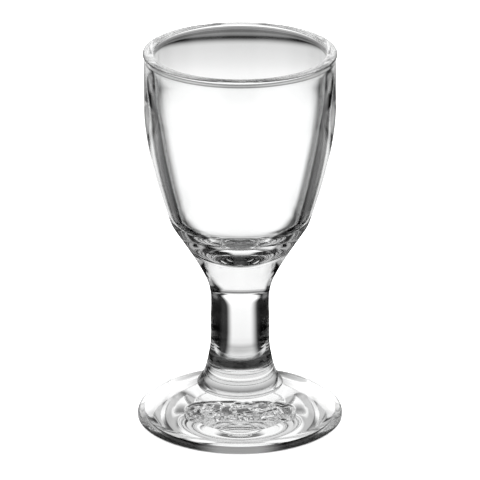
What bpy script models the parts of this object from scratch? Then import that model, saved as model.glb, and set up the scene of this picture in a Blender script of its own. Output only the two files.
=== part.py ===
# Stemmed shot glass: a thick bowl on a short solid stem, a flared collar and a round foot.
# Each piece is turned about +Z. The glass stands on the plane z = 0, centred on the origin.

import math

import bpy

# Driving dimensions, in metres. A slope is the change of radius for each unit of height.

# Joints between the pieces: a shallow crown on the lower piece seats in the one above it.
JOINT_GAP = 0.0003
JOINT_CROWN = 0.0008

# Foot
FOOT_RADIUS = 0.0270
FOOT_LOWER_EDGE_RADIUS = 0.0009
FOOT_UPPER_EDGE_RADIUS = 0.0024
FOOT_EDGE_ANGLE = math.radians(75)
FOOT_RISE = 0.0056
FOOT_NECK_ANGLE = math.radians(24)
RECESS_EDGE_RADIUS = 0.0162
RECESS_FLANK_WIDTH = 0.0041
RECESS_HEIGHT = 0.0016

# Collar
COLLAR_SEAT_RADIUS = 0.0107
COLLAR_EDGE_RADIUS = 0.00055
COLLAR_RISE = 0.0068
COLLAR_TOP_SLOPE = -0.18
COLLAR_EDGE_SLOPE = -0.81

# Stem
STEM_BASE_RADIUS = 0.0083
STEM_WAIST_RADIUS = 0.0077
STEM_TOP_RADIUS = 0.0089
STEM_LOWER_RISE = 0.0101
STEM_UPPER_RISE = 0.0119
STEM_BASE_SLOPE = -0.24
STEM_TOP_SLOPE = 0.45

# Bowl, outside: a tapered base, a knuckle, a swelling belly and a nearly upright wall
KNUCKLE_RADIUS = 0.0174
KNUCKLE_RISE = 0.0142
KNUCKLE_SLOPE = 0.64
SHOULDER_RADIUS = 0.0192
SHOULDER_RISE = 0.0046
SHOULDER_SLOPE = 0.32
WALL_RADIUS = 0.0248
WALL_RISE = 0.0272
WALL_SLOPE = 0.03
LIP_RADIUS = 0.0250
LIP_RISE = 0.0152
LIP_ROLL_HEIGHT = 0.00056
LIP_NECK_DROP = 0.00135
LIP_NECK_DEPTH = 0.0003

# Bowl, inside
LIP_THICKNESS = 0.0029
LIP_INNER_DROP = 0.0010
WALL_THICKNESS = 0.0033
SHOULDER_THICKNESS = 0.0027
FLOOR_THICKNESS = 0.0081
FLOOR_FLAT_RADIUS = 0.0104
CAVITY_WALL_SLOPE = 0.07
CAVITY_SHOULDER_SLOPE = 0.33
CAVITY_CORNER_FULLNESS = 0.61

# Facets
TURN_STEPS = 48
SMOOTH_ANGLE = math.radians(35)
MERGE_DISTANCE = 0.00001

# Heights that follow from the stack of pieces
EDGE_TOP = FOOT_LOWER_EDGE_RADIUS + FOOT_UPPER_EDGE_RADIUS * math.sin(FOOT_EDGE_ANGLE)
FOOT_TOP = EDGE_TOP + FOOT_RISE
COLLAR_TOP = FOOT_TOP + JOINT_GAP + 2 * COLLAR_EDGE_RADIUS + COLLAR_RISE
STEM_TOP = COLLAR_TOP + STEM_LOWER_RISE + STEM_UPPER_RISE


def lerp(start, end, share):
    return start + (end - start) * share


def flank(start, start_slope, end, end_slope, steps):
    # A smooth side between two (radius, height) points, with a slope given at each.
    drop = end[1] - start[1]
    points = []
    for step in range(1, steps + 1):
        t = step / steps
        radius = (
            (2 * t**3 - 3 * t**2 + 1) * start[0]
            + (t**3 - 2 * t**2 + t) * drop * start_slope
            + (3 * t**2 - 2 * t**3) * end[0]
            + (t**3 - t**2) * drop * end_slope
        )
        points.append((radius, lerp(start[1], end[1], t)))
    return points


def bezier(start, start_handle, end_handle, end, steps):
    points = []
    for step in range(1, steps + 1):
        t = step / steps
        weights = ((1 - t) ** 3, 3 * t * (1 - t) ** 2, 3 * t**2 * (1 - t), t**3)
        ends = (start, start_handle, end_handle, end)
        radius = sum(weight * point[0] for weight, point in zip(weights, ends))
        height = sum(weight * point[1] for weight, point in zip(weights, ends))
        points.append((radius, height))
    return points


def arc(centre, radius, start_angle, end_angle, steps):
    points = []
    for step in range(steps + 1):
        angle = lerp(start_angle, end_angle, step / steps)
        points.append((centre[0] + radius * math.cos(angle), centre[1] + radius * math.sin(angle)))
    return points


def crown(edge_radius, height, rise, steps=4):
    # A shallow dome from the axis out to its edge.
    ball_radius = (edge_radius**2 + rise**2) / (2 * rise)
    points = [(0.0, height + rise)]
    for step in range(1, steps + 1):
        radius = edge_radius * step / steps
        sink = ball_radius - math.sqrt(ball_radius**2 - radius**2)
        points.append((radius, height + rise - sink))
    return points


def foot_profile():
    upper_centre = (FOOT_RADIUS - FOOT_UPPER_EDGE_RADIUS, FOOT_LOWER_EDGE_RADIUS)
    lower_centre = (FOOT_RADIUS - FOOT_LOWER_EDGE_RADIUS, FOOT_LOWER_EDGE_RADIUS)
    edge = arc(upper_centre, FOOT_UPPER_EDGE_RADIUS, FOOT_EDGE_ANGLE, 0.0, 6)
    edge += arc(lower_centre, FOOT_LOWER_EDGE_RADIUS, 0.0, -math.pi / 2, 4)[1:]
    seat = (COLLAR_SEAT_RADIUS, FOOT_TOP)
    reach = (edge[0][0] - seat[0]) / 3
    edge_fall = reach / math.tan(FOOT_EDGE_ANGLE)
    neck_fall = reach * math.tan(FOOT_NECK_ANGLE)
    points = crown(COLLAR_SEAT_RADIUS, FOOT_TOP, JOINT_CROWN)
    points += bezier(
        seat,
        (seat[0] + reach, seat[1] - neck_fall),
        (edge[0][0] - reach, edge[0][1] + edge_fall),
        edge[0],
        8,
    )
    points += edge[1:]

    # The bearing ring, then a soft step up to a flat recess.
    recess_edge = (RECESS_EDGE_RADIUS, 0.0)
    recess_flat = (RECESS_EDGE_RADIUS - RECESS_FLANK_WIDTH, RECESS_HEIGHT)
    turn = RECESS_FLANK_WIDTH / 3
    points.append(recess_edge)
    points += bezier(
        recess_edge,
        (recess_edge[0] - turn, recess_edge[1]),
        (recess_flat[0] + turn, recess_flat[1]),
        recess_flat,
        8,
    )
    points.append((0.0, RECESS_HEIGHT))
    return points


def collar_profile():
    bottom = JOINT_GAP
    top = COLLAR_TOP - FOOT_TOP
    edge_centre = (COLLAR_SEAT_RADIUS, bottom + COLLAR_EDGE_RADIUS)
    edge = arc(edge_centre, COLLAR_EDGE_RADIUS, math.atan(-COLLAR_EDGE_SLOPE), -math.pi / 2, 6)
    points = crown(STEM_BASE_RADIUS, top, JOINT_CROWN)
    points += flank((STEM_BASE_RADIUS, top), COLLAR_TOP_SLOPE, edge[0], COLLAR_EDGE_SLOPE, 7)
    points += edge[1:]
    points += reversed(crown(COLLAR_SEAT_RADIUS, bottom, JOINT_CROWN)[:-1])
    return points


def stem_profile():
    bottom = JOINT_GAP
    waist = (STEM_WAIST_RADIUS, STEM_LOWER_RISE)
    top = (STEM_TOP_RADIUS, STEM_LOWER_RISE + STEM_UPPER_RISE)
    points = crown(STEM_TOP_RADIUS, top[1], JOINT_CROWN)
    points += flank(top, STEM_TOP_SLOPE, waist, 0.0, 6)
    points += flank(waist, 0.0, (STEM_BASE_RADIUS, bottom), STEM_BASE_SLOPE, 5)
    points += reversed(crown(STEM_BASE_RADIUS, bottom, JOINT_CROWN)[:-1])
    return points


def bowl_profile():
    base = (STEM_TOP_RADIUS, JOINT_GAP)
    knuckle = (KNUCKLE_RADIUS, JOINT_GAP + KNUCKLE_RISE)
    shoulder = (SHOULDER_RADIUS, knuckle[1] + SHOULDER_RISE)
    wall = (WALL_RADIUS, shoulder[1] + WALL_RISE)
    lip_roll = LIP_THICKNESS / 2
    lip_centre = (LIP_RADIUS - lip_roll, wall[1] + LIP_RISE)
    lip = [
        (lip_centre[0] + lip_roll * across, lip_centre[1] + LIP_ROLL_HEIGHT * up)
        for across, up in arc((0.0, 0.0), 1.0, math.pi, 0.0, 8)
    ]
    outer_neck = (lip[-1][0] - LIP_NECK_DEPTH, lip[-1][1] - LIP_NECK_DROP)

    inner_neck = (lip[0][0], lip[0][1] - LIP_INNER_DROP)
    inner_wall = (WALL_RADIUS - WALL_THICKNESS, wall[1])
    inner_shoulder = (SHOULDER_RADIUS - SHOULDER_THICKNESS, shoulder[1])
    floor_height = JOINT_GAP + FLOOR_THICKNESS
    corner_drop = (inner_shoulder[1] - floor_height) * CAVITY_CORNER_FULLNESS
    corner_inset = corner_drop * CAVITY_SHOULDER_SLOPE
    points = [(0.0, floor_height)]
    points += bezier(
        (0.0, floor_height),
        (FLOOR_FLAT_RADIUS, floor_height),
        (inner_shoulder[0] - corner_inset, inner_shoulder[1] - corner_drop),
        inner_shoulder,
        9,
    )
    points += flank(inner_shoulder, CAVITY_SHOULDER_SLOPE, inner_wall, CAVITY_WALL_SLOPE, 7)
    points += flank(inner_wall, CAVITY_WALL_SLOPE, inner_neck, 0.0, 4)
    points += lip
    points += flank(lip[-1], 0.0, outer_neck, 0.0, 4)
    points += flank(outer_neck, 0.0, wall, WALL_SLOPE, 4)
    points += flank(wall, WALL_SLOPE, shoulder, SHOULDER_SLOPE, 7)
    points += flank(shoulder, SHOULDER_SLOPE, knuckle, KNUCKLE_SLOPE, 3)
    points += flank(knuckle, KNUCKLE_SLOPE, base, STEM_TOP_SLOPE, 6)
    points += reversed(crown(STEM_TOP_RADIUS, JOINT_GAP, JOINT_CROWN)[:-1])
    return points


def clear_glass(name):
    material = bpy.data.materials.new(name)
    material.use_nodes = True
    shader = material.node_tree.nodes["Principled BSDF"]
    shader.inputs["Base Color"].default_value = (0.94, 0.96, 0.96, 1.0)
    shader.inputs["Metallic"].default_value = 0.0
    shader.inputs["Roughness"].default_value = 0.03
    shader.inputs["IOR"].default_value = 1.52
    shader.inputs["Transmission Weight"].default_value = 1.0
    return material


def turned_piece(name, profile, height, parent, collection):
    outline = bpy.data.meshes.new(name + "_outline")
    vertices = [(radius, 0.0, level) for radius, level in profile]
    edges = [(index, index + 1) for index in range(len(vertices) - 1)]
    outline.from_pydata(vertices, edges, [])
    piece = bpy.data.objects.new(name, outline)
    collection.objects.link(piece)
    screw = piece.modifiers.new("Turn", "SCREW")
    screw.axis = "Z"
    screw.angle = 2 * math.pi
    screw.steps = TURN_STEPS
    screw.render_steps = TURN_STEPS
    screw.use_merge_vertices = True
    screw.merge_threshold = MERGE_DISTANCE

    turned = bpy.data.meshes.new_from_object(piece.evaluated_get(bpy.context.evaluated_depsgraph_get()))
    turned.name = name
    turned.shade_smooth()
    turned.set_sharp_from_angle(angle=SMOOTH_ANGLE)
    turned.materials.clear()
    turned.materials.append(clear_glass(name + "_glass"))
    piece.modifiers.clear()
    piece.data = turned
    bpy.data.meshes.remove(outline)
    piece.location = (0.0, 0.0, height)
    piece.parent = parent
    return piece


def main():
    for item in list(bpy.data.objects):
        bpy.data.objects.remove(item, do_unlink=True)
    collection = bpy.data.collections.new("stemmed_shot_glass")
    bpy.context.scene.collection.children.link(collection)
    axis = bpy.data.objects.new("glass_axis", None)
    collection.objects.link(axis)
    turned_piece("foot", foot_profile(), 0.0, axis, collection)
    turned_piece("collar", collar_profile(), FOOT_TOP, axis, collection)
    turned_piece("stem", stem_profile(), COLLAR_TOP, axis, collection)
    turned_piece("bowl", bowl_profile(), STEM_TOP, axis, collection)


main()
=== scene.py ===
import math

import bpy
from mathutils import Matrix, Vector


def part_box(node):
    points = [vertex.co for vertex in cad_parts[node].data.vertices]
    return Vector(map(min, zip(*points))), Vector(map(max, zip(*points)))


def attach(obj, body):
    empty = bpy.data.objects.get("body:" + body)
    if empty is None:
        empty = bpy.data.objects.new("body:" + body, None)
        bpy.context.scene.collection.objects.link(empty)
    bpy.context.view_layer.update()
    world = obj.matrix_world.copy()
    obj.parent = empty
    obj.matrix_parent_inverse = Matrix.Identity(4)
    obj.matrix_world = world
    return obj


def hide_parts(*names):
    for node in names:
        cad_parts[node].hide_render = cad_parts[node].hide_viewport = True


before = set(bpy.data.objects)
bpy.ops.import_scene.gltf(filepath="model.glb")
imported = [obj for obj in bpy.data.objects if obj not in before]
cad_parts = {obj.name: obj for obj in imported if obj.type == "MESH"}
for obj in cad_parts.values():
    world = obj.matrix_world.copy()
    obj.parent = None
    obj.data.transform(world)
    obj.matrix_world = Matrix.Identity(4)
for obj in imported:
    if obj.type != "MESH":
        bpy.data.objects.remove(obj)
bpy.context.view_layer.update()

mm = 0.001
print("frame loaded:", ", ".join(sorted(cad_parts)))


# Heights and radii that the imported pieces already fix, in millimetres
def boxOf(node):
    low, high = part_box(node)
    return {"low": low[2] / mm, "high": high[2] / mm, "radius": high[0] / mm}


footBox, collarBox, stemBox, bowlBox = [boxOf(node) for node in ("foot", "collar", "stem", "bowl")]
seamCrown = 0.8                 # how far a fused seam bulges up into the piece above
footTop = collarBox["low"]      # the seams lie where each upper piece starts
collarTop = stemBox["low"]
stemTop = bowlBox["low"]


# Outline helpers: an outline is a list of (radius, height) points in millimetres
def flank(start, startSlope, end, endSlope, steps):
    drop = end[1] - start[1]
    points = []
    for step in range(1, steps + 1):
        t = step / steps
        radius = (2 * t**3 - 3 * t**2 + 1) * start[0] + (t**3 - 2 * t**2 + t) * drop * startSlope
        radius += (3 * t**2 - 2 * t**3) * end[0] + (t**3 - t**2) * drop * endSlope
        points.append((radius, start[1] + drop * t))
    return points


def bezier(start, startHandle, endHandle, end, steps):
    points = []
    for step in range(1, steps + 1):
        t = step / steps
        weights = ((1 - t) ** 3, 3 * t * (1 - t) ** 2, 3 * t**2 * (1 - t), t**3)
        ends = (start, startHandle, endHandle, end)
        points.append(tuple(sum(w * p[axis] for w, p in zip(weights, ends)) for axis in (0, 1)))
    return points


def arc(centre, radius, startAngle, endAngle, steps):
    points = []
    for step in range(steps + 1):
        angle = math.radians(startAngle + (endAngle - startAngle) * step / steps)
        points.append((centre[0] + radius * math.cos(angle), centre[1] + radius * math.sin(angle)))
    return points


def dome(edgeRadius, height, rise, steps):
    ball = (edgeRadius**2 + rise**2) / (2 * rise)
    points = []
    for step in range(steps + 1):
        radius = edgeRadius * step / steps
        points.append((radius, height + rise - ball + math.sqrt(ball**2 - radius**2)))
    return points


# Node helpers: add() makes a node, sets its options and feeds its sockets from numbers or other nodes
def nodeBook(tree):
    def add(kind, feeds=None, **options):
        node = tree.nodes.new(kind)
        for name, value in options.items():
            setattr(node, name, value)
        for socket, value in (feeds or {}).items():
            if isinstance(value, bpy.types.NodeSocket):
                tree.links.new(value, node.inputs[socket])
            else:
                node.inputs[socket].default_value = value
        return node
    return add


def shaderBook(owner):
    owner.use_nodes = True
    owner.node_tree.nodes.clear()
    return nodeBook(owner.node_tree)


def mathTools(add):
    def sums(operation, first, second=0.0):
        return add("ShaderNodeMath", {0: first, 1: second}, operation=operation).outputs[0]

    def past(value, edge, soft):            # 0 before the edge, 1 past it
        limits = {0: value, 1: edge - soft, 2: edge + soft}
        return add("ShaderNodeMapRange", limits, interpolation_type="SMOOTHSTEP").outputs[0]

    def upTo(value, edge, soft):            # 1 before the edge, 0 past it
        limits = {0: value, 1: edge + soft, 2: edge - soft}
        return add("ShaderNodeMapRange", limits, interpolation_type="SMOOTHSTEP").outputs[0]

    def times(*values):
        total = values[0]
        for value in values[1:]:
            total = sums("MULTIPLY", total, value)
        return total

    def brightest(*values):
        total = values[0]
        for value in values[1:]:
            total = sums("MAXIMUM", total, value)
        return total
    return sums, past, upTo, times, brightest


# Every piece is turned by one tree: a grid whose rows are laid on the outline and wrapped round the axis.
# The tree also raises the band of lumps under the foot, noise inside a rounded oblong, which spells nothing.
turning = {"turnSteps": 256, "seamSteps": 10, "mergeDistance": 1e-6, "smoothAngle": 35}
lumpShape = {
    "sideRound": 6.0, "endRound": 4.0, "rimSoft": 0.2,
    "level": 0.5, "levelSoft": 0.08, "detail": 1.0,
}
turnInputs = [
    ("Outline", "Geometry"), ("Turn Steps", "Int"), ("Upper Seam Rows", "Int"), ("Lower Seam Rows", "Int"),
    ("Mark Turn", "Float"), ("Mark Width", "Float"), ("Mark Depth", "Float"), ("Mark Back", "Float"),
    ("Mark Under", "Float"), ("Mark Scale", "Float"), ("Mark Height", "Float"), ("Merge Distance", "Float"),
    ("Skin", "Material"), ("Seam", "Material"),
]


def makeTurnTree():
    tree = bpy.data.node_groups.new("turnedGlass", "GeometryNodeTree")
    for name, kind in turnInputs:
        tree.interface.new_socket(name, in_out="INPUT", socket_type="NodeSocket" + kind)
    tree.interface.new_socket("Piece", in_out="OUTPUT", socket_type="NodeSocketGeometry")
    add = nodeBook(tree)
    sums, past, upTo, times, brightest = mathTools(add)

    given = add("NodeGroupInput").outputs
    rows = add("GeometryNodeAttributeDomainSize", {0: given["Outline"]}).outputs["Point Count"]
    columns = sums("ADD", given["Turn Steps"], 1)
    grid = add("GeometryNodeMeshGrid", {"Vertices X": columns, "Vertices Y": rows}).outputs["Mesh"]
    index = add("GeometryNodeInputIndex").outputs[0]
    row = sums("FLOORED_MODULO", index, rows)
    column = sums("FLOOR", sums("DIVIDE", index, rows))
    angle = times(sums("DIVIDE", column, given["Turn Steps"]), -2 * math.pi)  # clockwise: faces point out

    place = add("GeometryNodeInputPosition").outputs[0]
    spotFeeds = {"Geometry": given["Outline"], "Index": row, "Value": place}
    spot = add("GeometryNodeSampleIndex", spotFeeds, data_type="FLOAT_VECTOR").outputs[0]
    radius, unused, height = add("ShaderNodeSeparateXYZ", {0: spot}).outputs
    aside, ahead = times(radius, sums("COSINE", angle)), times(radius, sums("SINE", angle))
    wrapped = add("ShaderNodeCombineXYZ", {0: aside, 1: ahead, 2: height}).outputs[0]
    turned = add("GeometryNodeSetPosition", {"Geometry": grid, "Position": wrapped}).outputs[0]

    # faces on the fused seams, noted before the doubles go
    faceRows = sums("SUBTRACT", rows, 1)
    faceRow = sums("FLOORED_MODULO", index, faceRows)
    lastRow = sums("SUBTRACT", faceRows, given["Lower Seam Rows"])
    upper = add("FunctionNodeCompare", {0: faceRow, 1: given["Upper Seam Rows"]}, operation="LESS_THAN")
    lower = add("FunctionNodeCompare", {0: faceRow, 1: lastRow}, operation="GREATER_EQUAL")
    onSeam = add("FunctionNodeBooleanMath", {0: upper.outputs[0], 1: lower.outputs[0]}, operation="OR")
    noteFeeds = {"Geometry": turned, "Name": "seam", "Value": onSeam.outputs[0]}
    noted = add("GeometryNodeStoreNamedAttribute", noteFeeds, data_type="BOOLEAN", domain="FACE").outputs[0]
    mergeFeeds = {"Geometry": noted, "Distance": given["Merge Distance"]}
    merged = add("GeometryNodeMergeByDistance", mergeFeeds).outputs[0]

    # the raised band, only on what lies below its top
    aimFeeds = {"Vector": place, "Angle": given["Mark Turn"]}
    aimed = add("ShaderNodeVectorRotate", aimFeeds, rotation_type="Z_AXIS").outputs[0]
    bandX, bandY, bandZ = add("ShaderNodeSeparateXYZ", {0: aimed}).outputs
    offSide = sums("ABSOLUTE", sums("DIVIDE", bandX, given["Mark Width"]))
    fromBack = sums("SUBTRACT", bandY, given["Mark Back"])
    offBack = sums("ABSOLUTE", sums("DIVIDE", fromBack, given["Mark Depth"]))
    sideShare = sums("POWER", offSide, lumpShape["sideRound"])
    backShare = sums("POWER", offBack, lumpShape["endRound"])
    inside = upTo(sums("ADD", sideShare, backShare), 1.0, lumpShape["rimSoft"])
    below = sums("LESS_THAN", bandZ, given["Mark Under"])
    grainFeeds = {"Scale": given["Mark Scale"], "Detail": lumpShape["detail"]}
    grain = add("ShaderNodeTexNoise", grainFeeds).outputs[0]
    lumps = past(grain, lumpShape["level"], lumpShape["levelSoft"])
    swell = times(lumps, inside, below, given["Mark Height"])
    normal = add("GeometryNodeInputNormal").outputs[0]
    shove = add("ShaderNodeVectorMath", {0: normal, "Scale": swell}, operation="SCALE").outputs[0]
    raised = add("GeometryNodeSetPosition", {"Geometry": merged, "Offset": shove}).outputs[0]

    smooth = add("GeometryNodeSetShadeSmooth", {"Geometry": raised}).outputs[0]
    real = add("GeometryNodeRealizeInstances", {"Geometry": smooth}).outputs[0]
    skinned = add("GeometryNodeSetMaterial", {"Geometry": real, "Material": given["Skin"]}).outputs[0]
    seamFaces = add("GeometryNodeInputNamedAttribute", {"Name": "seam"}, data_type="BOOLEAN").outputs[0]
    seamFeeds = {"Geometry": skinned, "Selection": seamFaces, "Material": given["Seam"]}
    dressed = add("GeometryNodeSetMaterial", seamFeeds).outputs[0]
    add("NodeGroupOutput", {"Piece": dressed})
    return tree


def turnPiece(name, outline, skin, upperSeam, lowerSeam, marks=None):
    mesh = bpy.data.meshes.new(name + "_outline")
    points = [(radius * mm, 0, height * mm) for radius, height in outline]
    mesh.from_pydata(points, [(i, i + 1) for i in range(len(points) - 1)], [])
    piece = bpy.data.objects.new(name, mesh)
    bpy.context.scene.collection.objects.link(piece)
    modifier = piece.modifiers.new("Turn", "NODES")
    modifier.node_group = turnTree
    values = {
        "Turn Steps": turning["turnSteps"],
        "Upper Seam Rows": upperSeam,
        "Lower Seam Rows": lowerSeam,
        "Merge Distance": turning["mergeDistance"],
        "Skin": skin,
        "Seam": fusedSeam,
    }
    if marks:
        values["Mark Turn"] = -math.radians(marks["turn"])
        values["Mark Scale"] = 1 / (marks["grain"] * mm)
        for size in ("Width", "Depth", "Back", "Under", "Height"):
            values["Mark " + size] = marks[size.lower()] * mm
    for item in turnTree.interface.items_tree:
        if item.in_out == "INPUT" and item.name in values:
            modifier[item.identifier] = values[item.name]
    evaluated = piece.evaluated_get(bpy.context.evaluated_depsgraph_get())
    plain = bpy.data.meshes.new_from_object(evaluated)
    piece.modifiers.clear()
    piece.data = plain
    bpy.data.meshes.remove(mesh)
    plain.name = name
    plain.materials.pop(index=0)  # the grid's own empty slot
    plain.attributes.remove(plain.attributes["seam"])
    plain.set_sharp_from_angle(angle=math.radians(turning["smoothAngle"]))
    print("turned", name, "with", len(plain.polygons), "faces")
    return piece


# Clear glass with a faint cloud in its tint and a slow wave in its surface
glassLook = {
    "cloudScale": 60.0, "cloudDetail": 2.0,
    "tintDeep": (0.985, 0.992, 0.990, 1.0), "tintClear": (1.0, 1.0, 1.0, 1.0),
    "waveScale": 90.0, "waveDetail": 1.0, "waveStrength": 0.02, "waveDepth": 0.0003,
    "bend": 1.52,
}


def clearGlass(name, look):
    material = bpy.data.materials.new(name)
    add = shaderBook(material)
    place = add("ShaderNodeTexCoord").outputs["Object"]
    cloudFeeds = {"Vector": place, "Scale": look["cloudScale"], "Detail": look["cloudDetail"]}
    cloud = add("ShaderNodeTexNoise", cloudFeeds).outputs[0]
    tint = add("ShaderNodeValToRGB", {0: cloud})
    tint.color_ramp.elements[0].color = look["tintDeep"]
    tint.color_ramp.elements[1].color = look["tintClear"]
    waveFeeds = {"Vector": place, "Scale": look["waveScale"], "Detail": look["waveDetail"]}
    wave = add("ShaderNodeTexNoise", waveFeeds).outputs[0]
    bumpFeeds = {"Height": wave, "Strength": look["waveStrength"], "Distance": look["waveDepth"]}
    bump = add("ShaderNodeBump", bumpFeeds).outputs[0]
    shader = add("ShaderNodeBsdfPrincipled", {
        "Base Color": tint.outputs[0],
        "Roughness": 0.0,
        "IOR": look["bend"],
        "Transmission Weight": 1.0,
        "Normal": bump,
    })
    add("ShaderNodeOutputMaterial", {"Surface": shader.outputs[0]})
    return material


def makeSeam():
    material = bpy.data.materials.new("fusedSeam")  # hot-joined glass has no surface left here
    add = shaderBook(material)
    add("ShaderNodeOutputMaterial", {"Surface": add("ShaderNodeBsdfTransparent").outputs[0]})
    return material


fusedSeam = makeSeam()
turnTree = makeTurnTree()
print("glass and turning tree ready")

# Foot: sloping top, rounded edge, narrow bearing ring and a recess beneath with a low dome and raised marks
foot = {
    "lowerEdge": 0.9, "upperEdge": 2.4, "edgeAngle": 75, "neckAngle": 24, "seatRadius": 10.7,
    "bearingWidth": 1.2, "kick": 1.3, "kickSoft": 0.15, "kickDome": 0.5,
    "slopeSteps": 36, "upperSteps": 20, "lowerSteps": 14, "kickSteps": 16, "domeSteps": 100,
    "marks": {
        "turn": 225.0, "width": 13.2, "depth": 4.8, "back": -8.0, "under": 3.0, "grain": 3.0, "height": 0.22,
    },
}


def makeFoot():
    radius = footBox["radius"]
    upperCentre = (radius - foot["upperEdge"], foot["lowerEdge"])
    lowerCentre = (radius - foot["lowerEdge"], foot["lowerEdge"])
    edge = arc(upperCentre, foot["upperEdge"], foot["edgeAngle"], 0, foot["upperSteps"])
    edge += arc(lowerCentre, foot["lowerEdge"], 0, -90, foot["lowerSteps"])[1:]
    seat = (foot["seatRadius"], footTop)
    reach = (edge[0][0] - seat[0]) / 3
    neck = (seat[0] + reach, seat[1] - reach * math.tan(math.radians(foot["neckAngle"])))
    brow = (edge[0][0] - reach, edge[0][1] + reach / math.tan(math.radians(foot["edgeAngle"])))
    ring = (lowerCentre[0] - foot["bearingWidth"], 0.0)
    recess = (ring[0] - foot["kickSoft"], foot["kick"])
    ease = foot["kickSoft"] / 3
    ringEnd, recessEnd = (ring[0] - ease, ring[1]), (recess[0] + ease, recess[1])
    outline = dome(seat[0], footTop, seamCrown, turning["seamSteps"])
    outline += bezier(seat, neck, brow, edge[0], foot["slopeSteps"])
    outline += edge[1:]
    outline.append(ring)
    outline += bezier(ring, ringEnd, recessEnd, recess, foot["kickSteps"])
    for step in range(foot["domeSteps"] - 1, -1, -1):
        share = step / foot["domeSteps"]
        outline.append((recess[0] * share, recess[1] + foot["kickDome"] * (1 - share**2)))
    skin = clearGlass("footGlass", glassLook)
    piece = turnPiece("foot_skin", outline, skin, turning["seamSteps"], 0, foot["marks"])
    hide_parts("foot")
    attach(piece, "root")


# Collar: the flared wafer between stem and foot
collar = {
    "seatRadius": foot["seatRadius"], "edge": 0.55, "topSlope": -0.18, "edgeSlope": -0.81, "topRadius": 8.3,
    "edgeSteps": 14, "flankSteps": 28,
}


def makeCollar():
    edgeAngle = math.degrees(math.atan(-collar["edgeSlope"]))
    edgeCentre = (collar["seatRadius"], footTop + collar["edge"])
    edge = arc(edgeCentre, collar["edge"], edgeAngle, -90, collar["edgeSteps"])
    top = (collar["topRadius"], collarTop)
    outline = dome(top[0], collarTop, seamCrown, turning["seamSteps"])
    outline += flank(top, collar["topSlope"], edge[0], collar["edgeSlope"], collar["flankSteps"])
    outline += edge[1:]
    outline += reversed(dome(collar["seatRadius"], footTop, seamCrown, turning["seamSteps"])[:-1])
    skin = clearGlass("collarGlass", glassLook)
    piece = turnPiece("collar_skin", outline, skin, turning["seamSteps"], turning["seamSteps"])
    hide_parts("collar")
    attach(piece, "root")


# Stem: short, solid and slightly waisted
stem = {
    "baseRadius": collar["topRadius"], "waistRadius": 7.7, "topRadius": 8.9,
    "waistRise": 9.8, "baseSlope": -0.24, "topSlope": 0.45,
    "upperSteps": 36, "lowerSteps": 28,
}


def makeStem():
    base = (stem["baseRadius"], collarTop)
    waist = (stem["waistRadius"], collarTop + stem["waistRise"])
    top = (stem["topRadius"], stemTop)
    outline = dome(top[0], stemTop, seamCrown, turning["seamSteps"])
    outline += flank(top, stem["topSlope"], waist, 0, stem["upperSteps"])
    outline += flank(waist, 0, base, stem["baseSlope"], stem["lowerSteps"])
    outline += reversed(dome(base[0], collarTop, seamCrown, turning["seamSteps"])[:-1])
    skin = clearGlass("stemGlass", glassLook)
    piece = turnPiece("stem_skin", outline, skin, turning["seamSteps"], turning["seamSteps"])
    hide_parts("stem")
    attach(piece, "root")


# Bowl: tapered solid base, swelling belly, thick wall and a fire-polished lip
bowl = {
    "knuckleRadius": 17.4, "knuckleRise": 14.2, "knuckleSlope": 0.64,
    "shoulderRadius": 19.2, "shoulderRise": 4.6, "shoulderSlope": 0.32,
    "wallRadius": 24.8, "wallRise": 27.2, "wallSlope": 0.03,
    "lipThickness": 2.9, "lipRoll": 0.56, "outerDrop": 1.35, "outerNeck": 0.3, "innerDrop": 1.0,
    "wallThickness": 3.1, "shoulderThickness": 3.46, "floorThickness": 6.6, "floorFlat": 6.9,
    "cavityWallSlope": 0.10, "cavityShoulderSlope": 0.28, "cornerFullness": 0.37,
    "floorSteps": 60, "wallSteps": 40, "neckSteps": 16, "lipSteps": 36, "rollSteps": 12,
    "shoulderSteps": 16, "baseSteps": 32,
}


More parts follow.
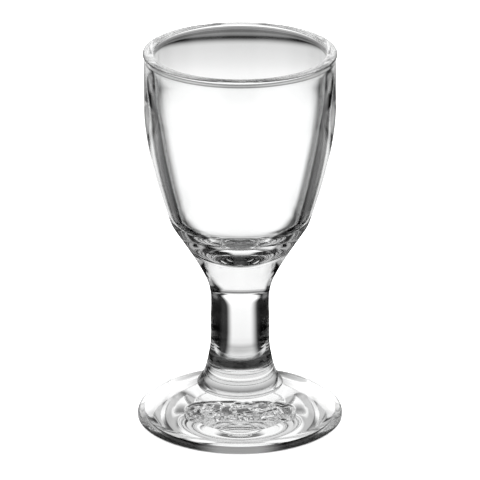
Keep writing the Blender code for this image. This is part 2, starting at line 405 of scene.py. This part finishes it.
def makeBowl():
    base = (stem["topRadius"], stemTop)
    knuckle = (bowl["knuckleRadius"], stemTop + bowl["knuckleRise"])
    shoulder = (bowl["shoulderRadius"], knuckle[1] + bowl["shoulderRise"])
    wall = (bowl["wallRadius"], shoulder[1] + bowl["wallRise"])
    roll = bowl["lipThickness"] / 2
    rise = bowl["lipRoll"]
    halfRound = arc((0, 0), 1, 180, 0, bowl["lipSteps"])
    lip = [(bowlBox["radius"] - roll + roll * x, bowlBox["high"] - rise + rise * y) for x, y in halfRound]
    innerNeck = (lip[0][0], lip[0][1] - bowl["innerDrop"])
    outerNeck = (lip[-1][0] - bowl["outerNeck"], lip[-1][1] - bowl["outerDrop"])
    innerWall = (wall[0] - bowl["wallThickness"], wall[1])
    innerShoulder = (shoulder[0] - bowl["shoulderThickness"], shoulder[1])
    middle = (0.0, stemTop + bowl["floorThickness"])
    flat = (bowl["floorFlat"], middle[1])
    cornerDrop = (innerShoulder[1] - middle[1]) * bowl["cornerFullness"]
    corner = (innerShoulder[0] - cornerDrop * bowl["cavityShoulderSlope"], innerShoulder[1] - cornerDrop)
    outline = [middle]
    outline += bezier(middle, flat, corner, innerShoulder, bowl["floorSteps"])
    outline += flank(innerShoulder, bowl["cavityShoulderSlope"], innerWall, bowl["cavityWallSlope"],
                     bowl["wallSteps"])
    outline += flank(innerWall, bowl["cavityWallSlope"], innerNeck, 0, bowl["neckSteps"])
    outline += lip
    outline += flank(lip[-1], 0, outerNeck, 0, bowl["rollSteps"])
    outline += flank(outerNeck, 0, wall, bowl["wallSlope"], bowl["neckSteps"])
    outline += flank(wall, bowl["wallSlope"], shoulder, bowl["shoulderSlope"], bowl["wallSteps"])
    outline += flank(shoulder, bowl["shoulderSlope"], knuckle, bowl["knuckleSlope"], bowl["shoulderSteps"])
    outline += flank(knuckle, bowl["knuckleSlope"], base, stem["topSlope"], bowl["baseSteps"])
    outline += reversed(dome(base[0], stemTop, seamCrown, turning["seamSteps"])[:-1])
    skin = clearGlass("bowlGlass", glassLook)
    piece = turnPiece("bowl_skin", outline, skin, 0, turning["seamSteps"])
    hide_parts("bowl")
    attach(piece, "root")


makeFoot()
makeCollar()
makeStem()
makeBowl()
print("glass pieces placed")

# Camera: the photograph's angle. The glass is round, so the camera and the set face along one diagonal.
shot = {
    "azimuth": 225.0, "elevation": 20.62, "distance": 1.186, "aimHeight": 0.0493,
    "lens": 341.9, "sensor": 36.0, "nearest": 0.01, "farthest": 50.0,
}


def makeCamera():
    turn, tilt = math.radians(shot["azimuth"]), math.radians(shot["elevation"])
    back = Vector((math.sin(turn) * math.cos(tilt), -math.cos(turn) * math.cos(tilt), math.sin(tilt)))
    data = bpy.data.cameras.new("shotCamera")
    data.lens = shot["lens"]
    data.sensor_width = shot["sensor"]
    data.clip_start = shot["nearest"]
    data.clip_end = shot["farthest"]
    camera = bpy.data.objects.new("shotCamera", data)
    camera.location = Vector((0, 0, shot["aimHeight"])) + back * shot["distance"]
    camera.rotation_euler = (math.radians(90) - tilt, 0, turn)
    bpy.context.scene.collection.objects.link(camera)
    bpy.context.scene.camera = camera


makeCamera()

# Set: a white floor and white surround for the eye. What the glass bends light from is the set of a glass
# photograph: a lit lane of table behind it, dark flags on both sides, white cards further round and in front.
# On the table all of this is painted light and painted shade in the floor's glow, seen only by rays the glass
# reflects or bends.
# Reach is in millimetres from the glass, angles are in degrees. Aside is the turn away from straight behind
# the glass to either side, lift is the height over the table, and over runs from behind to the front,
# overhead.
laneLook = {
    "light": 1.25, "end": 700,
    # the first stops are a painted shadow under the foot
    "stops": [
        (9, 0.0), (18, 0.05), (24, 0.6), (31, 0.64), (38, 0.42), (47, 0.72), (58, 0.78), (90, 0.88),
        (120, 1.0), (215, 1.0), (240, 0.88), (262, 0.79), (272, 0.71), (281, 0.66), (294, 0.61), (304, 0.58),
        (308, 0.46), (310, 0.3), (312.5, 0.14), (314.5, 0.02), (317.5, 0.0), (319, 0.08), (321, 0.21),
        (323, 0.2), (330, 0.1), (345, 0.12), (365, 0.3), (420, 0.2), (560, 0.2), (640, 0.5),
    ],
    "edgeScale": 60, "leftSoft": 7, "rightSoft": 5,     # how far the lane spreads to each side, in degrees
    "leftStops": [
        (20, 19), (64, 19), (100, 20), (115, 23), (132, 28), (180, 28), (205, 23), (235, 18), (262, 24),
        (290, 38), (540, 44),
    ],
    "rightStops": [
        (20, 14), (64, 13), (90, 15), (115, 19), (140, 23), (172, 26), (205, 21), (235, 17), (262, 20),
        (290, 29), (540, 27),
    ],
}
wholeTurn = 400     # past any angle aside, for what has no far edge
# patches of painted light in the table's glow: a bright ring beside the foot, a dim apron in front of it,
# wings and sides further out
tablePatches = {
    "ring": {"reach": (14, 28), "soft": (3, 3), "aside": (27, 94), "turnSoft": 8, "light": 1.2},
    "apron": {"reach": (12, 28), "soft": (3, 3), "aside": (160, wholeTurn), "turnSoft": 10, "light": 0.35},
    "wings": {"reach": (222, 285), "soft": (10, 10), "aside": (29, 44), "turnSoft": 5, "light": 0.4},
    "sides": {"reach": (100, 225), "soft": (12, 15), "aside": (70, wholeTurn), "turnSoft": 8, "light": 0.7},
}
# strips of painted light in the table's glow, on both sides of the lane
stripLook = {
    "stops": [(100, 0.0), (125, 0.17), (190, 0.17), (220, 0.25), (232, 0.25), (250, 0.0)],
    "aside": (38, 55), "turnSoft": 5,
}
frontLook = {
    "light": 0.65, "aside": 105, "turnSoft": 12, "reach": 60, "soft": 20, "top": 13, "topSoft": 6,
    "lensAside": 157, "lensSoft": 9, "lensDark": 0.6,   # less light from where the lens stands
}
skyLook = {
    "light": 1.06, "end": 180, "left": 44, "right": 25, "lean": 0.6, "soft": 7,
    "stops": [
        (0, 0.95), (10, 1.0), (48, 1.0), (51, 0.55), (54, 0.16), (60, 0.12), (66, 0.5), (74, 0.75),
        (106, 0.75), (114, 0.2), (130, 0.1), (155, 0.02),
    ],
}
barLook = {"over": (27, 37), "soft": 2, "aside": 18, "turnSoft": 4, "dark": 0.85}   # dark, on the backdrop
skyPatches = {
    "cards": {"aside": (46, 92), "turnSoft": 7, "lift": (24, 44), "soft": 4, "light": 0.95},
    "panels": {"aside": (46, 125), "turnSoft": 7, "lift": (7, 30), "soft": 4, "light": 0.5},
}
stage = {
    "dark": 0.002, "tableEdge": -1, "tableSoft": 1, "fill": 0.4,
    "floorColour": 0.9, "floorGrain": 0.02, "grainScale": 40.0, "floorGlow": 0.8,
    "floorDrop": 0.0001, "floorReach": 30.0,
}


def aroundGlass(add, coordinate):
    # turns a position or direction so that the camera looks along its second axis
    turned = add("ShaderNodeMapping", {"Vector": coordinate}, vector_type="POINT")
    turned.inputs["Rotation"].default_value = (0, 0, -math.radians(shot["azimuth"]))
    return add("ShaderNodeSeparateXYZ", {0: turned.outputs[0]}).outputs


def rampOf(add, value, stops, end, scale=1.0):
    scaled = add("ShaderNodeMath", {0: value, 1: 1 / end}, operation="MULTIPLY").outputs[0]
    ramp = add("ShaderNodeValToRGB", {0: scaled})
    for at, height in stops:
        ramp.color_ramp.elements.new(at / end).color = (height / scale, height / scale, height / scale, 1.0)
    ramp.color_ramp.elements.remove(ramp.color_ramp.elements[0])
    ramp.color_ramp.elements.remove(ramp.color_ramp.elements[-1])
    return add("ShaderNodeMath", {0: ramp.outputs[0], 1: scale}, operation="MULTIPLY").outputs[0]


def frontLight(add, aside):
    sums, past, upTo, times, brightest = mathTools(add)
    shade = times(past(aside, frontLook["lensAside"], frontLook["lensSoft"]), frontLook["lensDark"])
    unflagged = past(aside, frontLook["aside"], frontLook["turnSoft"])
    return times(unflagged, sums("SUBTRACT", 1.0, shade), frontLook["light"])


def glassRays(add):
    # 1 for what the glass reflects or bends, 0 for what the eye and the plain surfaces see
    path = add("ShaderNodeLightPath").outputs
    feeds = {0: path["Is Glossy Ray"], 1: path["Is Transmission Ray"]}
    return path, add("ShaderNodeMath", feeds, operation="MAXIMUM").outputs[0]


# the table's glow for the glass: painted light and painted shade, laid out by reach and angle around the
# glass
def litTable(add, place):
    sums, past, upTo, times, brightest = mathTools(add)

    def between(value, edges, startSoft, endSoft):
        return times(past(value, edges[0], startSoft), upTo(value, edges[1], endSoft))

    across, along, unused = aroundGlass(add, place)
    reach = times(sums("SQRT", sums("ADD", times(across, across), times(along, along))), 1 / mm)
    angle = sums("DEGREES", sums("ARCTAN2", across, along))
    aside = sums("ABSOLUTE", angle)
    # the lane runs bright from a painted shadow under the foot out to a dark gap, with its own edge on each
    # side
    lane = rampOf(add, reach, laneLook["stops"], laneLook["end"])
    leftEdge = rampOf(add, reach, laneLook["leftStops"], laneLook["end"], laneLook["edgeScale"])
    rightEdge = rampOf(add, reach, laneLook["rightStops"], laneLook["end"], laneLook["edgeScale"])
    leftSide = past(sums("ADD", angle, leftEdge), 0, laneLook["leftSoft"])
    rightSide = past(sums("SUBTRACT", rightEdge, angle), 0, laneLook["rightSoft"])
    lit = [times(rightSide, leftSide, lane, laneLook["light"])]
    for patch in tablePatches.values():
        spread = between(aside, patch["aside"], patch["turnSoft"], patch["turnSoft"])
        lit.append(times(between(reach, patch["reach"], *patch["soft"]), spread, patch["light"]))
    strip = between(aside, stripLook["aside"], stripLook["turnSoft"], stripLook["turnSoft"])
    lit.append(times(strip, rampOf(add, reach, stripLook["stops"], laneLook["end"])))
    lit.append(times(past(reach, frontLook["reach"], frontLook["soft"]), frontLight(add, aside)))
    return brightest(*lit, stage["dark"])


def makeFloor():
    material = bpy.data.materials.new("whiteFloor")
    add = shaderBook(material)
    place = add("ShaderNodeTexCoord").outputs["Object"]
    # what the glass sees of the table: a glow of painted light and painted shade
    forGlass = add("ShaderNodeEmission", {"Strength": litTable(add, place)})
    grain = add("ShaderNodeTexNoise", {"Vector": place, "Scale": stage["grainScale"]}).outputs[0]
    low, high = stage["floorColour"] - stage["floorGrain"], stage["floorColour"] + stage["floorGrain"]
    paper = add("ShaderNodeMapRange", {0: grain, 3: low, 4: high}).outputs[0]
    shade = add("ShaderNodeBsdfDiffuse", {"Color": paper})
    glow = add("ShaderNodeEmission", {"Strength": stage["floorGlow"]})
    forEye = add("ShaderNodeAddShader", {0: shade.outputs[0], 1: glow.outputs[0]})
    path, bent = glassRays(add)
    both = add("ShaderNodeMixShader", {0: bent, 1: forEye.outputs[0], 2: forGlass.outputs[0]})
    add("ShaderNodeOutputMaterial", {"Surface": both.outputs[0]})

    reach = stage["floorReach"]
    mesh = bpy.data.meshes.new("floor")
    corners = [(-reach, -reach), (reach, -reach), (reach, reach), (-reach, reach)]
    mesh.from_pydata([(x, y, -stage["floorDrop"]) for x, y in corners], [], [(0, 1, 2, 3)])
    mesh.materials.append(material)
    floor = bpy.data.objects.new("floor", mesh)
    bpy.context.scene.collection.objects.link(floor)


def litSurround(add, direction):
    sums, past, upTo, times, brightest = mathTools(add)

    def between(value, edges, soft):
        return times(past(value, edges[0], soft), upTo(value, edges[1], soft))

    across, along, up = aroundGlass(add, direction)
    aside = sums("ABSOLUTE", sums("DEGREES", sums("ARCTAN2", across, along)))
    lift = sums("DEGREES", sums("ARCSINE", up))
    over = sums("DEGREES", sums("ARCTAN2", up, along))
    turnOff = sums("DEGREES", sums("ARCSINE", across))
    aboveTable = past(lift, stage["tableEdge"], stage["tableSoft"])
    # the backdrop rises behind the glass, darkens overhead and ends above the camera
    lean = sums("SUBTRACT", turnOff, times(lift, skyLook["lean"]))
    rightSide = upTo(lean, skyLook["right"], skyLook["soft"])
    leftSide = past(turnOff, -skyLook["left"], skyLook["soft"])
    sky = times(rampOf(add, over, skyLook["stops"], skyLook["end"]), rightSide, leftSide, aboveTable)
    barSpread = upTo(aside, barLook["aside"], barLook["turnSoft"])
    bar = times(between(over, barLook["over"], barLook["soft"]), barSpread, barLook["dark"])
    lit = [times(sky, skyLook["light"], sums("SUBTRACT", 1.0, bar))]
    for patch in skyPatches.values():
        spread = between(aside, patch["aside"], patch["turnSoft"])
        lit.append(times(spread, between(lift, patch["lift"], patch["soft"]), patch["light"]))
    frontBand = times(upTo(lift, frontLook["top"], frontLook["topSoft"]), aboveTable)
    lit.append(times(frontBand, frontLight(add, aside)))
    return brightest(*lit, stage["dark"])


def makeWorld():
    world = bpy.data.worlds.new("surround")
    bpy.context.scene.world = world
    add = shaderBook(world)
    lit = litSurround(add, add("ShaderNodeTexCoord").outputs["Generated"])
    path, bent = glassRays(add)
    plain = add("ShaderNodeMapRange", {0: path["Is Camera Ray"], 3: stage["fill"], 4: 1.0}).outputs[0]
    light = add("ShaderNodeMix", {0: bent, 2: plain, 3: lit}).outputs[0]
    glow = add("ShaderNodeBackground", {"Color": (1.0, 1.0, 1.0, 1.0), "Strength": light})
    add("ShaderNodeOutputWorld", {"Surface": glow.outputs[0]})


softbox = {"size": 0.5, "height": 0.75, "power": 9.0}


def makeLamps():
    data = bpy.data.lights.new("softbox", "AREA")
    data.shape = "SQUARE"
    data.size = softbox["size"]
    data.energy = softbox["power"]
    lamp = bpy.data.objects.new("softbox", data)
    lamp.location = (0, 0, softbox["height"])
    lamp.visible_camera = False
    lamp.visible_glossy = False        # it lights the table only
    lamp.visible_transmission = False
    bpy.context.scene.collection.objects.link(lamp)


makeFloor()
makeWorld()
makeLamps()
scene = bpy.context.scene
scene.view_settings.view_transform = "Standard"
lightBounces = 32  # light crosses many glass walls and seams
for limit in ("max_bounces", "transmission_bounces", "glossy_bounces", "transparent_max_bounces"):
    setattr(scene.cycles, limit, lightBounces)
print("floor, surround, softbox and camera ready")
